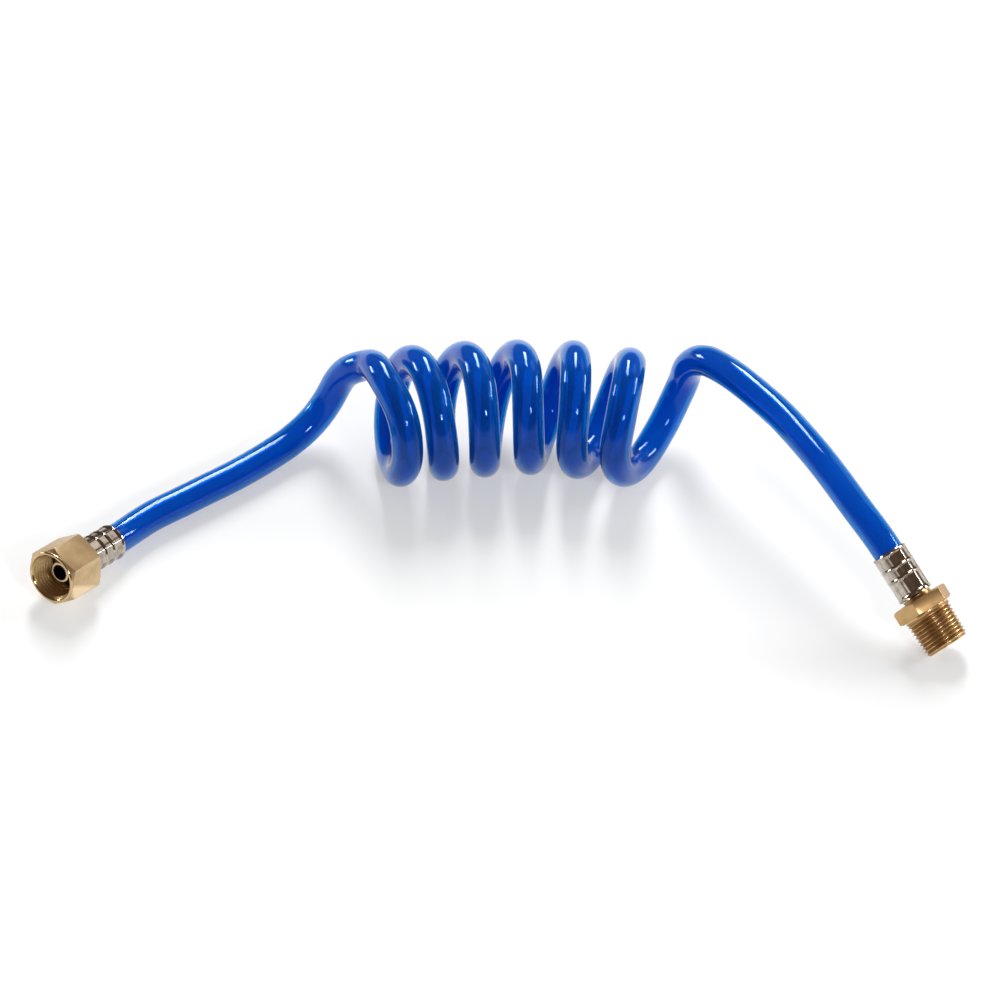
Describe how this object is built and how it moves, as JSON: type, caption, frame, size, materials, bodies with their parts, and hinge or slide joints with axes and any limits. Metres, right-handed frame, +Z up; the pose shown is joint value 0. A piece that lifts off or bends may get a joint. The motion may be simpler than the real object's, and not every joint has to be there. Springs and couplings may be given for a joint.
{
  "type": "water connector hose",
  "caption": "Coiled blue plastic water hose with a brass swivel nut at one end and a brass male pipe thread at the other, in crimped ferrules.",
  "frame": {"origin": "on the plane the hose lies on, under the middle of the two end fittings", "axes": "+X from the swivel nut's end to the male thread's end, +Y from the fittings towards the coil, +Z up"},
  "size_m": [0.4137, 0.1712, 0.0668],
  "materials": {
    "hose": "glossy translucent",
    "plated_ferrule": "bright plated",
    "brass": "machined satin"
  },
  "bodies": {
    "hose": {"hose_left_tail": "hose", "hose_coil": "hose", "hose_right_tail": "hose", "left_ferrule": "plated_ferrule", "right_ferrule": "plated_ferrule", "swivel_stem": "brass", "male_fitting": "brass"},
    "swivel_nut": {"swivel_nut": "brass"}
  },
  "joints": [
    {"name": "nut_spin", "type": "hinge", "parent": "hose", "child": "swivel_nut", "pos_m": [-0.19185, 0.00905, 0.01569], "axis": [-0.6151, -0.765, 0.1908], "continuous": true}
  ]
}
